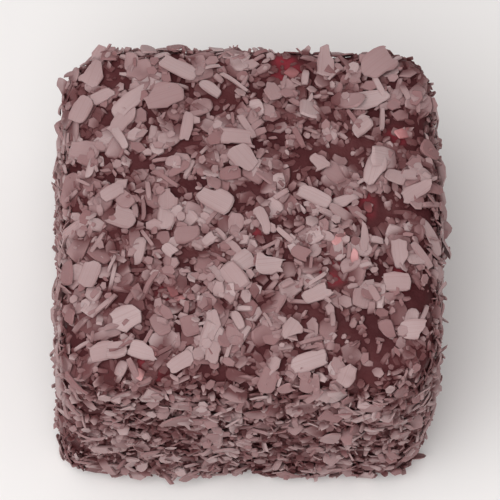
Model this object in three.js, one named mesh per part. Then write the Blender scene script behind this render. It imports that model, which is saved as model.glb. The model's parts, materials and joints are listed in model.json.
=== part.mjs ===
// A chocolate lamington: a block of sponge cake, dipped in thin chocolate icing and rolled in coconut.
// Millimetres, +Z up. The origin is on the ground, under the middle of the cake, and the front faces -Y.
// The cake is one solid out to the outer face of its coconut coat: a block with rounded corners, rolled
// edges, walls that swell a little, and a top that is slightly crowned and uneven, as a soft cake settles.

import * as THREE from "three";

// The plain block that the cake is shaped from.
const WIDTH = 43.6;
const DEPTH = 42.6;
const HEIGHT = 34.2;

// Upright corners seen from above. Each corner of the sponge is cut and dipped a little differently.
const CORNER_RADII = { backLeft: 6.6, backRight: 4.8, frontLeft: 4.4, frontRight: 6.0 };

// How far each long edge is rolled over.
const TOP_ROLL = 3.2;
const BASE_ROLL = 2.2;

// How far each wall stands out at the middle of its length and height.
const WALL_SWELL = { left: 0.4, right: 1.2, front: 0.8, back: 0.5 };

// The foot stands out further than the top all round, because the soft sponge sags.
const FOOT_SPREAD = 0.5;

// The top: a low crown with gentle humps and hollows over its whole face. Slanting humps, half as high and
// closer together, break up their even pattern.
const TOP_CROWN = 0.9;
const TOP_WAVE = { height: 0.35, length: 29, startX: 0.9, startY: -0.4 };
const SLANT_WAVE = { height: TOP_WAVE.height / 2, length: TOP_WAVE.length / 1.7 };

// Two ripples run round the walls. Their lean makes them shift with height.
const WALL_RIPPLES = [
  { height: 0.16, around: 5, lean: 1.3, start: 0.4 },
  { height: 0.12, around: 11, lean: -2.1, start: 1.7 },
];

// Faces along each edge of the block, and how strongly they crowd towards the rolled edges: at 0 they are
// evenly spaced.
const FACES_ACROSS = 22;
const FACES_UP = 16;
const EDGE_CROWDING = 0.45;

const HALF = new THREE.Vector3(WIDTH, DEPTH, HEIGHT).multiplyScalar(0.5);
const { clamp } = THREE.MathUtils;

// Moves an evenly spaced grid line, from -1 to 1, towards the nearer end, where the surface turns.
function crowdToEnds(t) {
  return t + (EDGE_CROWDING * Math.sin(Math.PI * t)) / Math.PI;
}

// A smooth hump that is 1 at the middle of the span from -1 to 1, and 0 at both its ends.
function hump(t) {
  return Math.cos((Math.PI / 2) * clamp(t, -1, 1));
}

// Carries a point on the edge of the rectangle WIDTH by DEPTH to the same outline with rounded corners.
function roundCorner(x, y) {
  const corner = (y > 0 ? "back" : "front") + (x > 0 ? "Right" : "Left");
  const radius = CORNER_RADII[corner];
  const centre = new THREE.Vector2(
    clamp(x, radius - HALF.x, HALF.x - radius),
    clamp(y, radius - HALF.y, HALF.y - radius),
  );
  return new THREE.Vector2(x, y).sub(centre).setLength(radius).add(centre);
}

// Rolls an edge over: inset is the distance in from the wall, and drop is the distance from the flat top
// or base.
function rollEdge(inset, drop, roll) {
  if (inset >= roll || drop >= roll) return { inset, drop };
  const fromCentre = new THREE.Vector2(roll - inset, roll - drop).setLength(roll);
  return { inset: roll - fromCentre.x, drop: roll - fromCentre.y };
}

// How much higher than the plain block the top lies. outward is 0 at its middle and 1 at the walls.
function topRelief(x, y, outward) {
  const turn = (2 * Math.PI) / TOP_WAVE.length;
  const humps = Math.sin(turn * x + TOP_WAVE.startX) * Math.cos(turn * y + TOP_WAVE.startY);
  const slant = Math.sin(((2 * Math.PI) / SLANT_WAVE.length) * (x + y));
  return TOP_CROWN * (1 - outward * outward) + TOP_WAVE.height * humps + SLANT_WAVE.height * slant;
}

// How far the ripples move the wall outwards at an angle round the cake and a level from -1, base, to 1, top.
function wallRipple(angle, level) {
  return WALL_RIPPLES.reduce(
    (sum, { height, around, lean, start }) => sum + height * Math.sin(around * angle + lean * level + start),
    0,
  );
}

// Carries one point of the plain block's surface to the cake's surface.
function shapePoint(point) {
  const outward = Math.max(Math.abs(point.x) / HALF.x, Math.abs(point.y) / HALF.y);
  const outline = outward > 0 ? roundCorner(point.x / outward, point.y / outward) : new THREE.Vector2();
  const upper = point.z > 0;
  const roll = rollEdge((1 - outward) * HALF.x, HALF.z - Math.abs(point.z), upper ? TOP_ROLL : BASE_ROLL);

  const share = 1 - roll.inset / HALF.x;
  const x = outline.x * share;
  const y = outline.y * share;
  const z = (HALF.z - roll.drop) * (upper ? 1 : -1);
  const level = z / HALF.z;

  const ripple = wallRipple(Math.atan2(y, x), level);
  const spread = 1 + (ripple + (FOOT_SPREAD * (1 - level)) / 2) / HALF.x;
  const swellX = (x > 0 ? WALL_SWELL.right : WALL_SWELL.left) * hump(y / HALF.y) * hump(level);
  const swellY = (y > 0 ? WALL_SWELL.back : WALL_SWELL.front) * hump(x / HALF.x) * hump(level);

  return point.set(
    x * (spread + swellX / HALF.x),
    y * (spread + swellY / HALF.y),
    (z + HALF.z) * (1 + topRelief(x, y, share) / HEIGHT),
  );
}

// Puts the middle of the plan over the origin.
function centreOverOrigin(geometry) {
  geometry.computeBoundingBox();
  const middle = geometry.boundingBox.getCenter(new THREE.Vector3());
  return geometry.translate(-middle.x, -middle.y, 0);
}

function cakeGeometry() {
  const block = new THREE.BoxGeometry(WIDTH, DEPTH, HEIGHT, FACES_ACROSS, FACES_ACROSS, FACES_UP);
  const places = block.getAttribute("position");
  const point = new THREE.Vector3();
  for (let i = 0; i < places.count; i += 1) {
    point.fromBufferAttribute(places, i).divide(HALF);
    point.set(crowdToEnds(point.x), crowdToEnds(point.y), crowdToEnds(point.z)).multiply(HALF);
    shapePoint(point);
    places.setXYZ(i, point.x, point.y, point.z);
  }
  centreOverOrigin(block).computeVertexNormals();
  return block;
}

// The mean colour of white coconut over dark icing.
const coconutCoat = new THREE.MeshStandardMaterial({ color: 0x806363, roughness: 0.75, metalness: 0 });

const cake = new THREE.Mesh(cakeGeometry(), coconutCoat);
cake.name = "cake";

const lamington = new THREE.Group();
lamington.add(cake);

export default lamington;
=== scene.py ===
"""A chocolate lamington: a block of sponge cake dipped in thin icing and rolled in desiccated coconut.

The iced sponge is a rough, pitted block. The coconut lies on it as real pieces: broad chips, flakes,
slivers, curled shreds, small bits and crumbs. Each kind is modelled a few times, and copies of it
are strewn over the icing. The largest chips are laid on the top one by one.
Metres, +Z up, with the origin on the ground under the middle of the cake and its front towards -Y.
"""

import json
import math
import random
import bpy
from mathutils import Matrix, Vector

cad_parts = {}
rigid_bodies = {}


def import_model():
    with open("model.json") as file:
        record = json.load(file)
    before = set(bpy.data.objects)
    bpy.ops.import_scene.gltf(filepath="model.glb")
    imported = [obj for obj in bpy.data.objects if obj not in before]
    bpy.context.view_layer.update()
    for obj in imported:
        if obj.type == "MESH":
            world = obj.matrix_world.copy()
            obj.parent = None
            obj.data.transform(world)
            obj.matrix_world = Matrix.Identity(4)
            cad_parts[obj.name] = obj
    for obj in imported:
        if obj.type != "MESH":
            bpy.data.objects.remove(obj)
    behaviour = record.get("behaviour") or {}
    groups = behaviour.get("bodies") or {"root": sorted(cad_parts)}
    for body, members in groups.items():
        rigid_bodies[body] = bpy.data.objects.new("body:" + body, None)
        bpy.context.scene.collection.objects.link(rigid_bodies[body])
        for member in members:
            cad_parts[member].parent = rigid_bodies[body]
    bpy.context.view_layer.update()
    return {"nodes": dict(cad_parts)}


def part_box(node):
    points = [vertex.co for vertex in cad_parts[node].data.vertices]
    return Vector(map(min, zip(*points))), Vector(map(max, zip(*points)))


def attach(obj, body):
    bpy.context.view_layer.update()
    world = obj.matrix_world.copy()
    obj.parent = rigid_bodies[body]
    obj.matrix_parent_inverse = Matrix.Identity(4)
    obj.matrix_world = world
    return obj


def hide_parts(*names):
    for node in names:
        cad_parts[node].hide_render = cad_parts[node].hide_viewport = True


bl_info = {
    "name": "Lamington",
    "version": (1, 0, 0),
    "blender": (4, 5, 0),
    "location": "3D View > Sidebar > Lamington",
    "description": "Makes a chocolate lamington rolled in desiccated coconut",
    "category": "Add Mesh",
}

import bpy
from bpy.props import FloatProperty, FloatVectorProperty, PointerProperty
from bpy.types import Operator, Panel, PropertyGroup
from mathutils import Matrix, Vector

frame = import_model()
CAKE_LOW, CAKE_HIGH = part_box("cake")
CAKE_SIZE = CAKE_HIGH - CAKE_LOW

MM = 0.001
SQUARE_CM = 1e-4
ROOT = "root"

# The coconut's own sheet of looks: one column for each shade, palest first, and up it from clean to soaked
# in icing, which also stands for painted shade. A piece lies across one column of it, clear of the column's
# edges.
SHEET = "OFBake"
SHADES = 64
COLUMN_MARGIN = 0.1
COLUMN_USED = 0.8
SHEET_FOOT = 0.01
SOAK_AND_SHADE_RISE = 0.9
SPECK_RISE = 0.08

# Names of the values that the pieces carry until their sheet is made.
ACROSS = "across"
SHADE = "shade"

# Places on the top, in millimetres to the right of the middle and to the back of it.
# Where the coat is thin: place and radius.
THIN_PATCHES = (
    (4.2, 18.6, 2.5), (17.6, 10.7, 2.7), (11.4, 7.6, 2.4), (6.4, 5.2, 3.3), (1.9, 8.8, 2.0),
    (-1.5, 1.5, 2.4), (-7.9, 2.8, 2.0), (-12.3, 11.3, 1.8), (15.2, -0.2, 2.9), (9.0, -7.7, 2.5),
    (5.8, -12.5, 2.6), (2.0, -9.6, 1.7), (19.4, -10.9, 2.3), (13.6, -18.0, 2.9), (10.6, -14.6, 2.0),
    (-20.4, -15.2, 1.6), (-13.8, 5.5, 1.6), (-3.9, 13.3, 2.1), (-7.9, 15.0, 1.5), (19.6, 15.9, 1.5),
    (-7.3, 7.6, 1.6), (-16.4, 16.0, 1.4), (3.1, -0.9, 1.3), (1.0, -17.6, 1.6), (-16.4, 5.8, 1.3),
    (-12.3, -0.6, 1.2),
)

# Where icing from a raspberry cake has rubbed off on the coat: place and radius.
RASPBERRY_SPOTS = (
    (11.4, 0.8, 2.6), (8.6, -6.6, 2.6), (3.4, 17.6, 2.4), (-0.6, -2.4, 1.7), (-9.4, -10.8, 1.5),
    (-11.8, -19.0, 2.0), (16.4, 9.4, 1.2), (16.6, -8.2, 1.6), (20.6, 5.0, 1.6),
)

# How far outside and inside its radius a spot fades, in millimetres.
FADE_OUTSIDE = 0.6
FADE_INSIDE = 0.8

# Shares of the cake's height where its walls turn into the rolled edge and where the top begins.
WALL_END = 0.8
TOP_START = 0.9

# The largest chips: place, length, width, turn in degrees, and shade from palest, 0, to dullest, 1.
LARGE_CHIPS = (
    (13.2, 13.6, 5.2, 2.5, 12, 0.0), (13.9, 5.0, 4.4, 2.5, 75, 0.05), (6.9, 1.2, 4.1, 1.9, -25, 0.05),
    (7.4, 5.4, 2.6, 2.1, -30, 0.3), (0.9, -1.8, 3.6, 1.6, 105, 0.2), (1.9, -6.8, 3.7, 2.9, 10, 0.05),
    (-1.2, -6.7, 2.7, 2.5, 40, 0.05), (-4.4, 0.9, 4.3, 2.9, -30, 0.15), (-1.2, 5.9, 3.7, 2.9, -50, 0.2),
    (-2.0, 8.6, 3.7, 2.0, 0, 0.3), (-8.7, 17.2, 4.6, 2.1, -25, 0.1), (14.4, 18.3, 4.6, 3.8, 40, 0.5),
    (8.4, 18.9, 4.3, 2.1, 85, 0.3), (18.0, -14.7, 3.2, 2.4, 5, 0.1), (6.2, -18.5, 4.4, 2.2, 20, 0.05),
    (-14.4, -13.9, 3.7, 3.1, 25, 0.05), (4.3, -14.8, 2.7, 2.4, 60, 0.2), (-4.6, -14.3, 3.9, 1.8, 95, 0.2),
    (-15.0, -1.2, 3.5, 2.9, -20, 0.3), (-15.2, 10.9, 4.3, 2.4, 50, 0.3), (-18.6, 16.8, 3.5, 2.8, 70, 0.35),
    (-7.7, 9.8, 3.6, 1.4, 80, 0.3), (16.6, -5.2, 3.6, 2.0, 95, 0.2), (20.4, -2.6, 4.6, 1.6, -60, 0.2),
    (12.5, -3.4, 3.9, 1.3, 95, 0.25), (16.2, -8.9, 3.2, 2.4, 0, 0.3), (7.2, -10.4, 3.6, 2.0, 25, 0.15),
    (18.6, 2.6, 4.4, 2.0, 38, 0.25), (-9.8, 0.9, 2.8, 2.4, 90, 0.4), (-10.4, 13.6, 4.8, 3.4, 20, 0.55),
    (-19.8, 12.2, 3.4, 2.4, 65, 0.35), (-17.4, 13.8, 3.0, 1.6, 20, 0.3), (-17.0, -17.6, 3.2, 2.2, 15, 0.3),
    (-12.4, -17.6, 3.6, 2.1, -15, 0.1), (-8.2, -18.8, 3.2, 1.9, 35, 0.2), (-4.6, -17.4, 2.8, 1.8, 80, 0.3),
    (-18.6, -8.4, 3.4, 2.2, 70, 0.25), (-16.0, 1.8, 3.2, 1.8, 30, 0.2),
)

# The largest chips: how many millimetres they lie over the icing, how many degrees they lean either way, and
# how far they are levelled, from 0, along the icing's slope, to 1, flat.
CHIP_REST = 0.85
CHIP_LEAN = 9
CHIP_LEVELLING = 0.5

# How far over the cake each chip starts its way down to the icing.
RAY_START = 5 * MM

# The share of the other pieces that is left out under the largest chips, and the rim in millimetres, just
# inside a chip's sides, where nothing is left out.
HIDDEN_LOSS = 0.85
CHIP_RIM = 0.1

# The upward part of the surface's direction, from 0 on an upright wall to 1 on a level top. Each pair says
# where something starts and where it is complete.
WALL_FACING = (0.9, 0.4)
UPPER_FACING = (0.4, 0.8)
TOP_FACING = (0.85, 0.95)

# Worn patches: where the mottling counts as worn, and how worn they are on the walls and on the top.
WORN = (0.51, 0.58)
WALL_WEAR = 0.75
TOP_WEAR = 0.25

# How the coconut lies: most pieces are low and nearly flat, they sink in where the coat is thin, they tilt
# more on the walls, and copies differ in size.
PILE_POWER = 1.5
TILT_POWER = 3
THIN_SINK = 0.6
WALL_TILT = 0.8
COPY_SIZES = (0.75, 1.3)
BED_SMOOTHING = 14

# How unevenly the icing soaks up, and how much painted shade darkens the coconut below the top, laid on as
# extra soak.
SOAK_SWING = 0.9
WALL_SHADE = 0.18
WALL_SHADE_STARTS = 0.95

# The first seed of each kind. The seeds of its models and of its strewing follow on from it.
SEEDS = {
    "crumbs": 100,
    "bits": 150,
    "slivers": 200,
    "flakes": 300,
    "chips": 400,
    "shreds": 500,
    "stained": 600,
    "large_chips": 700,
}


# ----------------------------------------------------------------------------------------------------
# Small tools
# ----------------------------------------------------------------------------------------------------


class Wire:
    """A socket that adds Math nodes to its tree when it is used in arithmetic."""

    def __init__(self, board, socket):
        self.board = board
        self.socket = socket

    def __add__(self, other):
        return self.board.maths("ADD", self, other)

    def __sub__(self, other):
        return self.board.maths("SUBTRACT", self, other)

    def __rsub__(self, other):
        return self.board.maths("SUBTRACT", other, self)

    def __mul__(self, other):
        return self.board.maths("MULTIPLY", self, other)

    def __truediv__(self, other):
        return self.board.maths("DIVIDE", self, other)

    def __pow__(self, other):
        return self.board.maths("POWER", self, other)

    __radd__ = __add__
    __rmul__ = __mul__


class Board:
    """Adds nodes to one node tree, of a material or of Geometry Nodes."""

    def __init__(self, tree):
        self.tree = tree

    @staticmethod
    def find(sockets, key):
        """The socket at an index, or the first one in use with that name."""
        if isinstance(key, int):
            return sockets[key]
        return next(s for s in sockets if s.name == key and s.enabled)

    def node(self, kind, settings=(), inputs=(), output=0):
        """Adds a node, sets it, fills its inputs with values or wires, and returns one output as a wire."""
        made = self.tree.nodes.new(kind)
        for name, value in dict(settings).items():
            setattr(made, name, value)
        for key, value in dict(inputs).items():
            socket = self.find(made.inputs, key)
            if isinstance(value, Wire):
                self.tree.links.new(value.socket, socket)
            else:
                socket.default_value = value
        return Wire(self, self.find(made.outputs, output)) if made.outputs else None

    def also(self, wire, output):
        """Another output of the node that a wire comes from."""
        return Wire(self, self.find(wire.socket.node.outputs, output))

    def maths(self, operation, *values, clamp=False):
        settings = {"operation": operation, "use_clamp": clamp}
        return self.node("ShaderNodeMath", settings, dict(enumerate(values)))

    def step(self, value, low, high):
        """A smooth step of value: 0 at low and 1 at high."""
        inputs = {"Value": value, "From Min": low, "From Max": high}
        return self.node("ShaderNodeMapRange", {"interpolation_type": "SMOOTHSTEP"}, inputs)

    def blend(self, share, first, second):
        """A colour between two others."""
        inputs = {0: share, 6: first, 7: second}
        return self.node("ShaderNodeMix", {"data_type": "RGBA"}, inputs, output=2)

    def vector_maths(self, operation, first, second, output=0):
        return self.node("ShaderNodeVectorMath", {"operation": operation}, {0: first, 1: second}, output)

    def spots(self, place, spots):
        """1 inside round spots on the top of the cake and 0 outside them, with soft rims."""
        found = 0.0
        plan = self.vector_maths("MULTIPLY", place, Vector((1, 1, 0)))
        for x, y, radius in spots:
            away = self.vector_maths("DISTANCE", plan, Vector((x * MM, y * MM, 0)), output="Value")
            inside = self.step(away, (radius + FADE_OUTSIDE) * MM, (radius - FADE_INSIDE) * MM)
            found = self.maths("MAXIMUM", found, inside)
        height_up = self.node("ShaderNodeSeparateXYZ", (), {"Vector": place}, "Z")
        return found * self.step(height_up, CAKE_HIGH.z * WALL_END, CAKE_HIGH.z * TOP_START)


def start_material(name):
    """A new material with an empty node tree, and the board for it."""
    material = bpy.data.materials.new(name)
    material.use_nodes = True
    material.node_tree.nodes.clear()
    return material, Board(material.node_tree)


def finish_material(board, shader_inputs, settings=()):
    shader = board.node("ShaderNodeBsdfPrincipled", settings, shader_inputs)
    board.node("ShaderNodeOutputMaterial", (), {"Surface": shader})


def colour(rgb):
    return (*rgb, 1.0)


def select_only(*pieces):
    """Leaves object mode with just these pieces selected, the first of them active."""
    if bpy.context.object and bpy.context.object.mode != "OBJECT":
        bpy.ops.object.mode_set(mode="OBJECT")
    bpy.ops.object.select_all(action="DESELECT")
    for piece in pieces:
        piece.select_set(True)
    bpy.context.view_layer.objects.active = pieces[0] if pieces else None


def apply_modifier(piece, kind, name="shaping", **settings):
    """Adds a modifier to the active piece and applies it at once."""
    modifier = piece.modifiers.new(name, kind)
    for key, value in settings.items():
        setattr(modifier, key, value)
    select_only(piece)
    bpy.ops.object.modifier_apply(modifier=modifier.name)


# ----------------------------------------------------------------------------------------------------
# Finishes
# ----------------------------------------------------------------------------------------------------


def icing_finish(settings):
    """Thin chocolate icing soaked into sponge: dark red-brown, patchily moist, with a fine grain."""
    material, board = start_material("chocolate_icing")
    here = board.node("ShaderNodeTexCoord", output="Object")

    def noise(per_metre, detail=3.0, distortion=0.0):
        return board.node("ShaderNodeTexNoise", (), {
            "Vector": here,
            "Scale": per_metre,
            "Detail": detail,
            "Roughness": 0.6,
            "Distortion": distortion,
        })

    patches = board.step(noise(90.0), 0.42, 0.62)
    broken_up = board.step(noise(420.0, detail=1.0, distortion=0.4), 0.3, 0.62)
    fruit = board.spots(here, RASPBERRY_SPOTS) * broken_up
    grain = noise(1600.0, detail=4.0)
    body = board.blend(patches, colour(settings.dark), colour(settings.warm))
    stained = board.blend(fruit, body, colour(settings.raspberry))
    speckled = board.blend(board.step(grain, 0.5, 0.8) * 0.5, stained, colour(settings.warm))
    bump = {"Strength": 0.7, "Distance": settings.grain_depth, "Height": grain}
    relief = board.node("ShaderNodeBump", (), bump)
    finish_material(board, {
        "Base Color": speckled,
        "Roughness": 0.68 - patches * 0.2,
        "Normal": relief,
        "Specular IOR Level": 0.12,
    })
    return material


def coconut_finish(name, pale, dull, soaked, settings):
    """Dried coconut: faintly fibrous, each piece its own shade, and browner where icing has soaked in; the
    soaked colour also stands for painted shade low in the coat and on the walls, and the pieces' sides are
    duller with painted shade.
    """
    material, board = start_material(name)
    sheet = board.node("ShaderNodeUVMap", {"uv_map": SHEET})
    split = board.node("ShaderNodeSeparateXYZ", (), {"Vector": sheet})
    along = split * SHADES
    soak_and_shade = board.also(split, "Y")
    column = board.maths("FLOOR", along)
    shade = column / (SHADES - 1)
    wetness = board.node("ShaderNodeTexWhiteNoise", {"noise_dimensions": "1D"}, {"W": column + 0.37})
    fibres = board.node("ShaderNodeTexNoise", {"noise_dimensions": "1D"}, {"W": along * 4.0, "Detail": 2.0})
    from_middle = board.maths("ABSOLUTE", board.maths("FRACT", along) - 0.5)

    clean = board.blend(shade, colour(pale), colour(dull))
    streaked = board.blend(board.step(fibres, 0.4, 0.8) * settings.streaks, clean, colour(dull))
    # Painted shade: each piece is duller towards its long sides.
    edge_shaded = board.blend(board.step(from_middle, 0.22, 0.42) * settings.edge_shade, streaked, colour(dull))
    # How far the soaked colour reaches: icing soaking in, and painted shade low in the pile and on the
    # walls.
    reach = board.step(soak_and_shade + wetness * settings.wicking, 0.55, 1.1)
    bump = {"Strength": 0.2, "Distance": settings.fibre_depth, "Height": fibres}
    relief = board.node("ShaderNodeBump", (), bump)
    finish_material(board, {
        "Base Color": board.blend(reach, edge_shaded, colour(soaked)),
        "Roughness": 0.5 + shade * 0.15,
        "Normal": relief,
        "Specular IOR Level": 0.25,
        "Subsurface Weight": 0.25,
        "Subsurface Radius": (1.0, 0.75, 0.7),
        "Subsurface Scale": 0.5 * MM,
    })
    return material


def floor_finish(settings):
    """Plain pale card with the faintest tooth."""
    material, board = start_material("pale_card")
    here = board.node("ShaderNodeTexCoord", output="Object")
    tooth = board.node("ShaderNodeTexNoise", (), {"Vector": here, "Scale": 900.0, "Detail": 2.0})
    finish_material(board, {
        "Base Color": colour(settings.floor_colour),
        "Roughness": 0.75 + tooth * 0.1,
    })
    return material


# ----------------------------------------------------------------------------------------------------
# The iced sponge
# ----------------------------------------------------------------------------------------------------


def make_iced_sponge(settings):
    """The sponge in its icing: the cake's solid, let in by the depth of the coat and made uneven."""
    mesh = frame["nodes"]["cake"].data.copy()
    sponge = bpy.data.objects.new("iced_sponge", mesh)
    bpy.context.scene.collection.objects.link(sponge)
    mesh.materials.clear()

    select_only(sponge)
    bpy.ops.object.mode_set(mode="EDIT")
    bpy.ops.mesh.select_all(action="SELECT")
    bpy.ops.mesh.remove_doubles(threshold=0.001 * MM)
    bpy.ops.object.mode_set(mode="OBJECT")

    apply_modifier(sponge, "DISPLACE", strength=-settings.coat_depth, mid_level=0.0)
    apply_modifier(sponge, "REMESH", mode="VOXEL", voxel_size=settings.grain, use_smooth_shade=True)

    for name, width, height in (
        ("slumps", settings.lump_width, settings.lump_height),
        ("pits", settings.pit_width, settings.pit_depth),
    ):
        relief = bpy.data.textures.new(name, "CLOUDS")
        relief.noise_scale = width
        relief.noise_depth = 1
        apply_modifier(
            sponge, "DISPLACE", texture=relief, texture_coords="LOCAL", strength=height, mid_level=0.5,
        )
    sponge.data.materials.append(icing_finish(settings))
    return sponge


# ----------------------------------------------------------------------------------------------------
# Coconut pieces
# ----------------------------------------------------------------------------------------------------


def begin_flake(x_cells, y_cells):
    """A flat unit grid, in edit mode with all of it selected."""
    select_only()
    bpy.ops.mesh.primitive_grid_add(x_subdivisions=x_cells, y_subdivisions=y_cells, size=1)
    return bpy.context.object


def round_outline(piece, share):
    """Draws a grid's corners in towards a disc."""
    apply_modifier(
        piece, "CAST", cast_type="CYLINDER", factor=share, use_z=False, size=0.5, use_radius_as_size=False,
    )


def edit_all():
    """Goes into edit mode with all of the active piece selected."""
    bpy.ops.object.mode_set(mode="EDIT")
    bpy.ops.mesh.select_all(action="SELECT")


def snap_off(angle, reach):
    """Breaks a flat piece off along a straight line, at a distance from its middle."""
    out = Vector((math.cos(angle), math.sin(angle), 0))
    bpy.ops.mesh.select_all(action="SELECT")
    bpy.ops.mesh.bisect(plane_co=out * reach, plane_no=out, clear_outer=True)
    bpy.ops.mesh.select_all(action="SELECT")


def roughen(amount, flatness, seed):
    """Moves every vertex at random, less up and down than sideways, then softens the corners."""
    bpy.ops.transform.vertex_random(offset=amount, seed=seed)
    bpy.ops.transform.resize(value=(1, 1, flatness), center_override=(0, 0, 0))
    bpy.ops.mesh.vertices_smooth(factor=0.4, repeat=1)


def thicken(thickness, taper):
    """Gives a flat sheet its thickness, with sloping edges."""
    bpy.ops.mesh.extrude_region_move(TRANSFORM_OT_translate={"value": (0, 0, thickness)})
    bpy.ops.transform.resize(value=(taper, taper, 1), center_override=(0, 0, 0))
    bpy.ops.mesh.select_all(action="SELECT")
    bpy.ops.mesh.normals_make_consistent(inside=False)


def finish_flake(piece, length, width, thickness, curl, twist):
    """Brings a piece to its size, curls it along its length with its ends down, twists and centres it."""
    bpy.ops.object.mode_set(mode="OBJECT")
    edges = piece.dimensions
    piece.data.transform(Matrix.Diagonal((length / edges.x, width / edges.y, thickness / edges.z, 1.0)))
    on_edge = Matrix.Rotation(math.radians(90), 4, "X")
    piece.data.transform(on_edge)
    apply_modifier(piece, "SIMPLE_DEFORM", deform_method="BEND", deform_axis="Z", angle=curl)
    piece.data.transform(on_edge.inverted())
    apply_modifier(piece, "SIMPLE_DEFORM", deform_method="TWIST", deform_axis="X", angle=twist)
    ends = [Vector(corner) for corner in piece.bound_box]
    piece.data.transform(Matrix.Translation(-sum(ends, Vector()) / len(ends)))
    places = [vertex.co.y for vertex in piece.data.vertices]
    low, span = min(places), max(places) - min(places)
    across = piece.data.attributes.new(ACROSS, "FLOAT", "POINT")
    across.data.foreach_set("value", [(place - low) / span for place in places])
    select_only(piece)
    bpy.ops.object.shade_smooth_by_angle(angle=math.radians(38))


def shape_chip(length, width, thickness, rng, seed):
    """A broad chip shaved off the nut: rounded, with one or two snapped sides, curled a little."""
    piece = begin_flake(x_cells=5, y_cells=4)
    round_outline(piece, rng.uniform(0.3, 0.75))
    edit_all()
    for _ in range(rng.choice((0, 1, 1, 2))):
        snap_off(rng.uniform(0, math.tau), rng.uniform(0.28, 0.42))
    roughen(amount=0.17, flatness=0.25, seed=seed)
    thicken(thickness=0.09, taper=rng.uniform(0.92, 0.97))
    curl = math.radians(rng.uniform(-20, 40))
    finish_flake(piece, length, width, thickness, curl, math.radians(rng.uniform(-15, 15)))
    return piece


def model_chip(settings, rng, seed):
    """A broad chip of the usual sizes."""
    length = settings.length * rng.uniform(0.7, 1.25)
    width = settings.width * rng.uniform(0.7, 1.25)
    return shape_chip(length, width, settings.thickness * rng.uniform(0.9, 1.4), rng, seed)


def model_flake(settings, rng, seed):
    """A flake: a smaller broken bit, often with one snapped side."""
    piece = begin_flake(x_cells=4, y_cells=3)
    round_outline(piece, rng.uniform(0.4, 0.9))
    edit_all()
    if rng.random() < 0.5:
        snap_off(rng.uniform(0, math.tau), rng.uniform(0.26, 0.4))
    roughen(amount=0.15, flatness=0.3, seed=seed)
    thicken(thickness=0.13, taper=rng.uniform(0.84, 0.94))
    finish_flake(
        piece,
        settings.length * rng.uniform(0.6, 1.4),
        settings.width * rng.uniform(0.6, 1.4),
        settings.thickness * rng.uniform(0.8, 1.4),
        math.radians(rng.uniform(-30, 50)),
        math.radians(rng.uniform(-25, 25)),
    )
    return piece


def model_bit(settings, rng, seed):
    """A small bit broken off a flake."""
    select_only()
    bpy.ops.mesh.primitive_circle_add(vertices=rng.choice((5, 6, 7)), radius=0.5, fill_type="TRIFAN")
    piece = bpy.context.object
    edit_all()
    roughen(amount=0.2, flatness=0.35, seed=seed)
    thicken(thickness=0.15, taper=rng.uniform(0.85, 0.95))
    finish_flake(
        piece,
        settings.length * rng.uniform(0.6, 1.4),
        settings.width * rng.uniform(0.6, 1.4),
        settings.thickness * rng.uniform(0.8, 1.4),
        math.radians(rng.uniform(-20, 30)),
        math.radians(rng.uniform(-20, 20)),
    )
    return piece


def model_sliver(settings, rng, seed):
    """A sliver: a straight narrow splinter with tapered ends."""
    piece = begin_flake(x_cells=5, y_cells=1)
    round_outline(piece, rng.uniform(0.6, 1.0))
    edit_all()
    roughen(amount=0.07, flatness=0.35, seed=seed)
    thicken(thickness=0.3, taper=rng.uniform(0.7, 0.9))
    finish_flake(
        piece,
        settings.length * rng.uniform(0.6, 1.4),
        settings.width * rng.uniform(0.7, 1.4),
        settings.thickness * rng.uniform(0.8, 1.4),
        math.radians(rng.uniform(-30, 50)),
        math.radians(rng.uniform(-35, 35)),
    )
    return piece


def model_shred(settings, rng, seed):
    """A long thin shred, curled and twisted."""
    piece = begin_flake(x_cells=7, y_cells=1)
    edit_all()
    roughen(amount=0.05, flatness=0.35, seed=seed)
    thicken(thickness=0.4, taper=rng.uniform(0.7, 0.85))
    finish_flake(
        piece,
        settings.length * rng.uniform(0.55, 1.3),
        settings.width * rng.uniform(0.8, 1.3),
        settings.thickness * rng.uniform(0.8, 1.3),
        math.radians(rng.uniform(20, 90)),
        math.radians(rng.uniform(-60, 60)),
    )
    return piece


def model_crumb(settings, rng, seed):
    """A crumb: an angular grain, flatter than it is wide."""
    select_only()
    bpy.ops.mesh.primitive_ico_sphere_add(subdivisions=1, radius=0.5)
    piece = bpy.context.object
    edit_all()
    bpy.ops.transform.vertex_random(offset=0.2, seed=seed)
    finish_flake(
        piece,
        settings.length * rng.uniform(0.6, 1.5),
        settings.width * rng.uniform(0.6, 1.4),
        settings.thickness * rng.uniform(0.7, 1.4),
        curl=0.0,
        twist=0.0,
    )
    return piece


def column_place(column, across):
    """Where a point lies across the sheet of looks, as a number or as a wire."""
    return (column + across * COLUMN_USED + COLUMN_MARGIN) / SHADES


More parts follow.
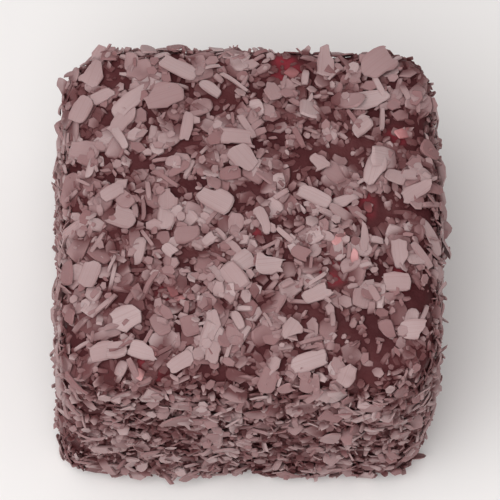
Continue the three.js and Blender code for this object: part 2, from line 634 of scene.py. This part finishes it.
def coat_nodes(name, sponge, variants, settings, seed, spots):
    """The node tree that strews copies of the variants over the sponge and joins them into one mesh.

    Where spots are given, the copies lie only there.
    """
    tree = bpy.data.node_groups.new(name, "GeometryNodeTree")
    tree.interface.new_socket("Geometry", in_out="OUTPUT", socket_type="NodeSocketGeometry")
    board = Board(tree)
    seeds = iter(range(seed, seed + 20))

    def chance(low, high):
        inputs = {"Min": low, "Max": high, "Seed": next(seeds)}
        return board.node("FunctionNodeRandomValue", {"data_type": "FLOAT"}, inputs, output="Value")

    def whole_chance(high):
        inputs = {"Min": 0, "Max": high, "Seed": next(seeds)}
        return board.node("FunctionNodeRandomValue", {"data_type": "INT"}, inputs, output="Value")

    def vector(x, y, z):
        return board.node("ShaderNodeCombineXYZ", (), {0: x, 1: y, 2: z})

    surface = board.node("GeometryNodeObjectInfo", (), {"Object": sponge}, output="Geometry")
    place = board.node("GeometryNodeInputPosition")
    even = board.node(
        "GeometryNodeBlurAttribute", {"data_type": "FLOAT_VECTOR"},
        {"Value": place, "Iterations": BED_SMOOTHING}, "Value",
    )
    bed = board.node("GeometryNodeSetPosition", (), {"Geometry": surface, "Position": even})

    def patch(width):
        return board.node("ShaderNodeTexNoise", (), {
            "Vector": place, "Scale": 1 / width, "Detail": 1.0, "Roughness": 0.5,
        })

    mottled = patch(settings.patch_width) * 0.5 + patch(settings.patch_width / 2) * 0.5
    facing = board.node("ShaderNodeSeparateXYZ", (), {"Vector": board.node("GeometryNodeInputNormal")}, "Z")
    on_wall = board.step(board.maths("ABSOLUTE", facing), *WALL_FACING)
    on_top = board.step(facing, *TOP_FACING)
    wear = WALL_WEAR - board.step(facing, *UPPER_FACING) * (WALL_WEAR - TOP_WEAR)
    worn = board.step(mottled, *WORN) * wear
    bare = board.maths("MAXIMUM", worn, board.spots(place, THIN_PATCHES))
    covered = board.spots(place, [(x, y, width / 2 - CHIP_RIM) for x, y, _, width, _, _ in LARGE_CHIPS])
    share = (1 - bare * settings.bareness) * (1 - on_wall * settings.wall_loss)
    share = share * (1 - on_top * settings.top_loss) * (1 - covered * HIDDEN_LOSS)
    if spots:
        share = share * board.spots(place, spots)
    points = board.node("GeometryNodeDistributePointsOnFaces", {"distribute_method": "RANDOM"}, {
        "Mesh": bed, "Density": share * (settings.per_cm2 / SQUARE_CM), "Seed": seed,
    }, output="Points")
    normal = board.also(points, "Normal")
    turned = board.also(points, "Rotation")

    depth = 1 - bare * THIN_SINK
    lift = chance(0.0, 1.0) ** PILE_POWER * (settings.pile_height * depth) + depth * settings.bed
    out = board.node("ShaderNodeVectorMath", {"operation": "SCALE"}, {"Vector": normal, "Scale": lift})
    raised = board.node("GeometryNodeSetPosition", (), {"Geometry": points, "Offset": out})
    level = board.maths("ABSOLUTE", board.node("ShaderNodeSeparateXYZ", (), {"Vector": normal}, "Z"))
    steepest = settings.tilt * (1 + board.step(level, *WALL_FACING) * WALL_TILT)

    def tilt():
        return chance(-1.0, 1.0) ** TILT_POWER * steepest

    angles = vector(tilt(), tilt(), chance(0, math.tau))
    own_turn = board.node("FunctionNodeEulerToRotation", (), {"Euler": angles})
    turn = board.node(
        "FunctionNodeRotateRotation", {"rotation_space": "LOCAL"},
        {"Rotation": turned, "Rotate By": own_turn},
    )
    library = board.node("GeometryNodeCollectionInfo", (), {
        "Collection": variants, "Separate Children": True, "Reset Children": True,
    })
    strewn = board.node("GeometryNodeInstanceOnPoints", (), {
        "Points": raised,
        "Instance": library,
        "Pick Instance": True,
        "Instance Index": whole_chance(len(variants.objects) - 1),
        "Rotation": turn,
        "Scale": vector(*[chance(*COPY_SIZES)] * 3),
    })
    column = board.maths("FLOOR", chance(0.0, 1.0) ** settings.dullness * (SHADES - 0.01))
    shaded = board.node(
        "GeometryNodeStoreNamedAttribute", {"data_type": "FLOAT", "domain": "INSTANCE"},
        {"Geometry": strewn, "Name": SHADE, "Value": column},
    )
    joined = board.node("GeometryNodeRealizeInstances", (), {"Geometry": shaded})

    split = board.node("ShaderNodeSeparateXYZ", (), {"Vector": place})
    height_up = board.also(split, "Z")
    grounded = board.maths("MAXIMUM", height_up, settings.ground_gap)
    rested = board.node("GeometryNodeSetPosition", (), {
        "Geometry": joined, "Position": vector(split, board.also(split, "Y"), grounded),
    })

    # Pieces nearer the icing take more of the soaked colour: icing soaking in, and painted shade deep in the
    # pile.
    distance = board.node("GeometryNodeProximity", {"target_element": "FACES"}, {0: surface}, "Distance")
    dry_and_lit = board.node("ShaderNodeMapRange", (), {"Value": distance, "From Max": settings.soak_height})
    # Painted shade on the walls: coconut below the top gets extra soak, and so a darker colour.
    on_lower = board.step(height_up, CAKE_HIGH.z * WALL_SHADE_STARTS, CAKE_HIGH.z * WALL_END)
    wetness = 1.0 + (patch(settings.patch_width * 2) - 0.5) * SOAK_SWING + on_lower * WALL_SHADE
    soak_and_shade = board.maths("SUBTRACT", wetness, dry_and_lit, clamp=True)

    def stored(attribute):
        return board.node(
            "GeometryNodeInputNamedAttribute", {"data_type": "FLOAT"}, {"Name": attribute}, "Attribute",
        )

    up = soak_and_shade * SOAK_AND_SHADE_RISE + patch(settings.speck_width) * SPECK_RISE + SHEET_FOOT
    spread = board.node(
        "GeometryNodeStoreNamedAttribute", {"data_type": "FLOAT2", "domain": "CORNER"},
        {
            "Geometry": rested,
            "Name": SHEET,
            "Value": vector(column_place(stored(SHADE), stored(ACROSS)), up, 0.0),
        },
    )
    board.node("NodeGroupOutput", (), {0: spread})
    return tree


def roll_in(name, settings, model, variety, seed, finish, spots=()):
    """Models a few pieces, strews copies over the iced sponge, and joins them into one piece."""
    sponge = bpy.data.objects["iced_sponge"]
    rng = random.Random(seed)
    variants = bpy.data.collections.new(name + "_variants")
    bpy.context.scene.collection.children.link(variants)
    for number in range(variety):
        piece = model(settings, rng, seed + number)
        piece.name = f"{name}_{number:02d}"
        for home in list(piece.users_collection):
            home.objects.unlink(piece)
        variants.objects.link(piece)

    coat = bpy.data.objects.new(name, bpy.data.meshes.new(name))
    bpy.context.scene.collection.objects.link(coat)
    apply_modifier(coat, "NODES", node_group=coat_nodes(name, sponge, variants, settings, seed, spots))
    for attribute in (SHADE, ACROSS):
        coat.data.attributes.remove(coat.data.attributes[attribute])
    coat.data.uv_layers[SHEET].active = True
    coat.data.materials.clear()
    coat.data.materials.append(finish)

    for piece in list(variants.objects):
        bpy.data.objects.remove(piece)
    bpy.data.collections.remove(variants)
    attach(coat, ROOT)


def lay_large_chips(settings, finish):
    """Lays the largest chips on the top one by one, and joins them into one piece."""
    sponge = bpy.data.objects["iced_sponge"]
    up = Vector((0, 0, 1))
    rng = random.Random(SEEDS["large_chips"])
    pieces = []
    for number, (x, y, length, width, turn, shade) in enumerate(LARGE_CHIPS):
        thickness = settings.thickness * rng.uniform(0.9, 1.4)
        piece = shape_chip(length * MM, width * MM, thickness, rng, SEEDS["large_chips"] + number)
        pieces.append(piece)
        along = [vertex.co.x / (length * MM) + 0.5 for vertex in piece.data.vertices]
        above = Vector((x * MM, y * MM, CAKE_HIGH.z + RAY_START))
        _, touched, normal, _ = sponge.ray_cast(above, -up)
        rest = Matrix.Translation(touched + up * (CHIP_REST * MM))
        slope = up.rotation_difference(normal.lerp(up, CHIP_LEVELLING)).to_matrix().to_4x4()
        turned = Matrix.Rotation(math.radians(turn), 4, "Z")
        lean = Matrix.Rotation(math.radians(rng.uniform(-CHIP_LEAN, CHIP_LEAN)), 4, "X")
        piece.data.transform(rest @ slope @ turned @ lean)

        column = round(shade * (SHADES - 1))
        across = [value.value for value in piece.data.attributes[ACROSS].data]
        sheet = piece.data.uv_layers.new(name=SHEET)
        for loop, spot in zip(piece.data.loops, sheet.uv):
            corner = loop.vertex_index
            height = SHEET_FOOT * 2 + SPECK_RISE * along[corner]
            spot.vector = (column_place(column, across[corner]), height)
        piece.data.attributes.remove(piece.data.attributes[ACROSS])

    select_only(*pieces)
    bpy.ops.object.join()
    chips = bpy.context.object
    chips.name = "coconut_large_chips"
    chips.data.materials.clear()
    chips.data.materials.append(finish)
    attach(chips, ROOT)


# ----------------------------------------------------------------------------------------------------
# Settings
# ----------------------------------------------------------------------------------------------------


def length_prop(name, description, default):
    return FloatProperty(name=name, description=description, default=default, unit="LENGTH", precision=5)


def number_prop(name, description, default):
    return FloatProperty(name=name, description=description, default=default)


def angle_prop(name, description, degrees):
    return FloatProperty(name=name, description=description, default=math.radians(degrees), subtype="ANGLE")


def colour_prop(name, description, default):
    return FloatVectorProperty(
        name=name, description=description, default=default, subtype="COLOR", size=3, min=0, max=1,
    )


class IcedSpongeSettings(PropertyGroup):
    """The sponge block in its icing."""

    coat_depth: length_prop("Coat depth", "How deep the coconut coat is over the icing", 1.1 * MM)
    grain: length_prop("Grain", "Size of the finest detail in the icing's surface", 0.45 * MM)
    lump_width: length_prop("Lump width", "Width of the sponge's soft lumps", 7 * MM)
    lump_height: length_prop("Lump height", "Height of the soft lumps", 0.7 * MM)
    pit_width: length_prop("Pit width", "Width of the pits and crumbs that show through the icing", 1.6 * MM)
    pit_depth: length_prop("Pit depth", "Depth of the pits", 0.5 * MM)
    dark: colour_prop("Dark icing", "Icing where it lies thick", (0.056, 0.012, 0.014))
    grain_depth: length_prop("Grain depth", "Depth of the icing's finest grain", 0.25 * MM)
    warm: colour_prop("Warm icing", "Icing where the sponge has drunk it", (0.086, 0.022, 0.024))
    raspberry: colour_prop("Raspberry", "Smears of raspberry icing from the next cake", (0.20, 0.022, 0.032))


def coconut_props(
    plural, per_cm2, size, tilt, bed, pile_height, bareness, wall_loss=0.0, top_loss=0.0, dullness=1.2,
):
    """The settings that every kind of coconut piece has. Sizes are in millimetres, the tilt in degrees."""
    length, width, thickness = size
    return {
        "per_cm2": number_prop("Pieces per cm²", f"How many {plural} lie on a square centimetre", per_cm2),
        "length": length_prop("Length", f"Usual length of the {plural}", length * MM),
        "width": length_prop("Width", f"Usual width of the {plural}", width * MM),
        "thickness": length_prop("Thickness", f"Usual thickness of the {plural}", thickness * MM),
        "tilt": angle_prop("Tilt", f"Steepest tilt of the {plural}; most lie much flatter", tilt),
        "bed": length_prop("Bed", f"Height of the lowest {plural} over the icing", bed * MM),
        "pile_height": length_prop("Pile height", f"How far the {plural} pile up", pile_height * MM),
        "bareness": number_prop("Bareness", f"Share of the {plural} missing where it is barest", bareness),
        "wall_loss": number_prop("Wall loss", f"Share of the {plural} missing from the walls", wall_loss),
        "top_loss": number_prop("Top loss", f"Share of the {plural} missing from the top", top_loss),
        "dullness": number_prop("Dullness", f"Lower for more of the dull {plural}", dullness),
        "patch_width": length_prop("Patch width", "Width of the bare patches", 4.5 * MM),
        # The soak height also sets how far painted shade reaches up from the icing.
        "soak_height": length_prop("Soak height", "How far icing soaks up the coconut", 1.0 * MM),
        "speck_width": length_prop("Speck width", "Width of the specks in the coconut", 0.8 * MM),
        "ground_gap": length_prop("Ground gap", "How near the pieces come to the ground", 0.02 * MM),
    }


class ChipSettings(PropertyGroup):
    """Broad chips."""

    __annotations__ = coconut_props(
        "broad chips", per_cm2=5, size=(3.8, 2.2, 0.2), tilt=14, bed=0.35, pile_height=0.5, bareness=0.95,
        wall_loss=0.75, top_loss=0.9,
    )


class FlakeSettings(PropertyGroup):
    """Flakes."""

    __annotations__ = coconut_props(
        "flakes", per_cm2=22, size=(2.6, 1.75, 0.2), tilt=24, bed=0.15, pile_height=0.8, bareness=0.96,
        wall_loss=0.35,
    )


class BitSettings(PropertyGroup):
    """Small bits."""

    __annotations__ = coconut_props(
        "small bits", per_cm2=78, size=(1.5, 1.1, 0.17), tilt=36, bed=0.05, pile_height=0.85, bareness=0.86,
        dullness=0.8,
    )


class SliverSettings(PropertyGroup):
    """Slivers."""

    __annotations__ = coconut_props(
        "slivers", per_cm2=24, size=(2.2, 0.62, 0.2), tilt=28, bed=0.1, pile_height=0.85, bareness=0.9,
        wall_loss=0.2,
    )


class ShredSettings(PropertyGroup):
    """Shreds."""

    __annotations__ = coconut_props(
        "shreds", per_cm2=2.5, size=(3.2, 0.42, 0.24), tilt=16, bed=0.3, pile_height=0.5, bareness=0.6,
        wall_loss=0.4,
    )


class CrumbSettings(PropertyGroup):
    """Crumbs."""

    __annotations__ = coconut_props(
        "crumbs", per_cm2=120, size=(0.85, 0.62, 0.3), tilt=60, bed=0.0, pile_height=0.7, bareness=0.3,
        dullness=0.6,
    )


class StainedSettings(PropertyGroup):
    """Stained flakes."""

    __annotations__ = coconut_props(
        "stained flakes", per_cm2=24, size=(1.8, 1.1, 0.17), tilt=25, bed=0.2, pile_height=0.7, bareness=0.6,
        wall_loss=0.5,
    )


class CoconutColours(PropertyGroup):
    """What the coconut looks like."""

    pale: colour_prop("Pale", "Clean dry coconut", (0.43, 0.313, 0.312))
    dull: colour_prop("Dull", "The dullest pieces", (0.25, 0.125, 0.127))
    # The soaked colour is also used as painted shade low in the coat and on the walls.
    soaked: colour_prop("Soaked", "Coconut that has soaked up icing", (0.13, 0.044, 0.046))
    stained_pale: colour_prop("Stained pale", "Coconut tinged with raspberry", (0.58, 0.30, 0.30))
    stained_dull: colour_prop("Stained dull", "Coconut soaked with raspberry", (0.36, 0.09, 0.10))
    wicking: number_prop("Wicking", "How unevenly icing soaks into the pieces", 0.45)
    streaks: number_prop("Streaks", "How strong the fibres' streaks are", 0.22)
    # Painted shade along each piece's long sides.
    edge_shade: number_prop("Thin edges", "How much duller the pieces' thin edges are", 0.35)
    fibre_depth: length_prop("Fibre depth", "Depth of the grooves between fibres", 0.05 * MM)


class StageSettings(PropertyGroup):
    """Floor, lights and camera."""

    floor_colour: colour_prop("Floor colour", "The pale floor", (0.86, 0.84, 0.83))
    sky_colour: colour_prop("Sky colour", "The even light from all round", (1.0, 0.985, 0.98))
    sky_strength: number_prop("Sky strength", "How strong the even light is", 0.52)
    lamp_power: FloatProperty(
        name="Lamp power", description="Power of the soft lamp", default=1.6, unit="POWER",
    )
    lamp_width: length_prop("Lamp width", "Width of the soft lamp", 0.4)
    lamp_place: FloatVectorProperty(
        name="Lamp place", description="Where the soft lamp hangs", default=(-0.12, -0.15, 0.42), size=3,
        subtype="TRANSLATION",
    )
    floor_width: length_prop("Floor width", "Width of the floor", 4.0)
    elevation: angle_prop("Elevation", "How high the camera stands", 68)
    azimuth: angle_prop("Azimuth", "How far round to the left the camera stands", 5)
    lens: number_prop("Lens", "Focal length in millimetres", 300)
    fill: number_prop("Fill", "The cake's width as a share of the picture's", 0.79)
    target_height: number_prop("Target height", "Where the camera looks, as a share of the height", 0.6)


# ----------------------------------------------------------------------------------------------------
# Operators
# ----------------------------------------------------------------------------------------------------


class LAMINGTON_OT_iced_sponge(Operator):
    """Makes the block of sponge in its chocolate icing"""

    bl_idname = "lamington.iced_sponge"
    bl_label = "Iced sponge"

    def execute(self, context):
        sponge = make_iced_sponge(context.scene.lamington_sponge)
        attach(sponge, ROOT)
        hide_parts("cake")
        return {"FINISHED"}


def plain_coconut(context):
    """The finish of clean coconut, made once and shared by every kind."""
    colours = context.scene.lamington_colours
    return bpy.data.materials.get("coconut") or coconut_finish(
        "coconut", colours.pale, colours.dull, colours.soaked, colours,
    )


class LAMINGTON_OT_crumbs(Operator):
    """Strews fine coconut crumbs over the icing"""

    bl_idname = "lamington.crumbs"
    bl_label = "Coconut crumbs"

    def execute(self, context):
        settings = context.scene.lamington_crumbs
        finish = plain_coconut(context)
        roll_in("coconut_crumbs", settings, model_crumb, variety=10, seed=SEEDS["crumbs"], finish=finish)
        return {"FINISHED"}


class LAMINGTON_OT_bits(Operator):
    """Strews small bits of coconut over the icing"""

    bl_idname = "lamington.bits"
    bl_label = "Small coconut bits"

    def execute(self, context):
        settings = context.scene.lamington_bits
        finish = plain_coconut(context)
        roll_in("coconut_bits", settings, model_bit, variety=12, seed=SEEDS["bits"], finish=finish)
        return {"FINISHED"}


class LAMINGTON_OT_slivers(Operator):
    """Strews narrow coconut slivers over the icing"""

    bl_idname = "lamington.slivers"
    bl_label = "Coconut slivers"

    def execute(self, context):
        settings = context.scene.lamington_slivers
        finish = plain_coconut(context)
        roll_in("coconut_slivers", settings, model_sliver, variety=12, seed=SEEDS["slivers"], finish=finish)
        return {"FINISHED"}


class LAMINGTON_OT_flakes(Operator):
    """Strews coconut flakes over the icing"""

    bl_idname = "lamington.flakes"
    bl_label = "Coconut flakes"

    def execute(self, context):
        settings = context.scene.lamington_flakes
        finish = plain_coconut(context)
        roll_in("coconut_flakes", settings, model_flake, variety=14, seed=SEEDS["flakes"], finish=finish)
        return {"FINISHED"}


class LAMINGTON_OT_chips(Operator):
    """Strews broad coconut chips over the icing"""

    bl_idname = "lamington.chips"
    bl_label = "Broad coconut chips"

    def execute(self, context):
        settings = context.scene.lamington_chips
        finish = plain_coconut(context)
        roll_in("coconut_chips", settings, model_chip, variety=12, seed=SEEDS["chips"], finish=finish)
        return {"FINISHED"}


class LAMINGTON_OT_large_chips(Operator):
    """Lays the largest chips on the top"""

    bl_idname = "lamington.large_chips"
    bl_label = "Large coconut chips"

    def execute(self, context):
        lay_large_chips(context.scene.lamington_chips, plain_coconut(context))
        return {"FINISHED"}


class LAMINGTON_OT_shreds(Operator):
    """Strews long curled coconut shreds over the icing"""

    bl_idname = "lamington.shreds"
    bl_label = "Coconut shreds"

    def execute(self, context):
        settings = context.scene.lamington_shreds
        finish = plain_coconut(context)
        roll_in("coconut_shreds", settings, model_shred, variety=10, seed=SEEDS["shreds"], finish=finish)
        return {"FINISHED"}


class LAMINGTON_OT_stained_flakes(Operator):
    """Strews a few flakes that raspberry icing has stained"""

    bl_idname = "lamington.stained_flakes"
    bl_label = "Stained flakes"

    def execute(self, context):
        colours = context.scene.lamington_colours
        finish = coconut_finish(
            "stained_coconut", colours.stained_pale, colours.stained_dull, colours.soaked, colours,
        )
        settings = context.scene.lamington_stained
        roll_in(
            "coconut_stained", settings, model_flake, variety=8, seed=SEEDS["stained"], finish=finish,
            spots=RASPBERRY_SPOTS,
        )
        return {"FINISHED"}


def aim(eye, target, up):
    """The place and turn of something at eye that looks at target."""
    back = (eye - target).normalized()
    right = up.cross(back).normalized()
    turn = Matrix((right, back.cross(right), back)).transposed().to_4x4()
    return Matrix.Translation(eye) @ turn


def add_lamp(name, eye, target, width, power):
    lamp = bpy.data.lights.new(name, "AREA")
    lamp.shape = "DISK"
    lamp.size = width
    lamp.energy = power
    piece = bpy.data.objects.new(name, lamp)
    bpy.context.scene.collection.objects.link(piece)
    piece.matrix_world = aim(eye, target, Vector((0, 1, 0)))


class LAMINGTON_OT_stage(Operator):
    """Sets the floor, the lights and the camera"""

    bl_idname = "lamington.stage"
    bl_label = "Stage"

    def execute(self, context):
        scene = context.scene
        settings = scene.lamington_stage
        select_only()
        bpy.ops.mesh.primitive_plane_add(size=settings.floor_width, location=(0, 0, 0))
        floor = context.object
        floor.name = "floor"
        floor.data.materials.append(floor_finish(settings))

        world = bpy.data.worlds.new("studio")
        world.use_nodes = True
        sky = world.node_tree.nodes["Background"]
        sky.inputs["Color"].default_value = colour(settings.sky_colour)
        sky.inputs["Strength"].default_value = settings.sky_strength
        scene.world = world

        middle = Vector((0, 0, CAKE_HIGH.z / 2))
        lamp_place = Vector(settings.lamp_place)
        add_lamp("soft_lamp", lamp_place, middle, settings.lamp_width, settings.lamp_power)

        lens = bpy.data.cameras.new("camera")
        lens.lens = settings.lens
        lens.clip_start = 0.01
        camera = bpy.data.objects.new("camera", lens)
        scene.collection.objects.link(camera)
        towards = Vector((
            -math.sin(settings.azimuth) * math.cos(settings.elevation),
            -math.cos(settings.azimuth) * math.cos(settings.elevation),
            math.sin(settings.elevation),
        ))
        reach = CAKE_SIZE.x / settings.fill * settings.lens / lens.sensor_width
        target = Vector((0, 0, CAKE_HIGH.z * settings.target_height))
        camera.matrix_world = aim(target + towards * reach, target, Vector((0, 1, 0)))
        scene.camera = camera
        scene.view_settings.view_transform = "Standard"
        return {"FINISHED"}


STEPS = (
    ("iced_sponge", LAMINGTON_OT_iced_sponge),
    ("crumbs", LAMINGTON_OT_crumbs),
    ("bits", LAMINGTON_OT_bits),
    ("slivers", LAMINGTON_OT_slivers),
    ("flakes", LAMINGTON_OT_flakes),
    ("chips", LAMINGTON_OT_chips),
    ("large_chips", LAMINGTON_OT_large_chips),
    ("shreds", LAMINGTON_OT_shreds),
    ("stained_flakes", LAMINGTON_OT_stained_flakes),
    ("stage", LAMINGTON_OT_stage),
)

GROUPS = {
    "lamington_sponge": IcedSpongeSettings,
    "lamington_crumbs": CrumbSettings,
    "lamington_bits": BitSettings,
    "lamington_slivers": SliverSettings,
    "lamington_flakes": FlakeSettings,
    "lamington_chips": ChipSettings,
    "lamington_shreds": ShredSettings,
    "lamington_stained": StainedSettings,
    "lamington_colours": CoconutColours,
    "lamington_stage": StageSettings,
}


class LAMINGTON_PT_panel(Panel):
    """The steps of making a lamington, in order"""

    bl_idname = "LAMINGTON_PT_panel"
    bl_label = "Lamington"
    bl_space_type = "VIEW_3D"
    bl_region_type = "UI"
    bl_category = "Lamington"

    def draw(self, context):
        for _, step in STEPS:
            self.layout.operator(step.bl_idname)


def register():
    for group in GROUPS.values():
        bpy.utils.register_class(group)
    for name, group in GROUPS.items():
        setattr(bpy.types.Scene, name, PointerProperty(type=group))
    for _, step in STEPS:
        bpy.utils.register_class(step)
    bpy.utils.register_class(LAMINGTON_PT_panel)


def unregister():
    bpy.utils.unregister_class(LAMINGTON_PT_panel)
    for _, step in reversed(STEPS):
        bpy.utils.unregister_class(step)
    for name in GROUPS:
        delattr(bpy.types.Scene, name)
    for group in reversed(GROUPS.values()):
        bpy.utils.unregister_class(group)


def main():
    register()
    for name, _ in STEPS:
        getattr(bpy.ops.lamington, name)()


if __name__ == "__main__":
    main()
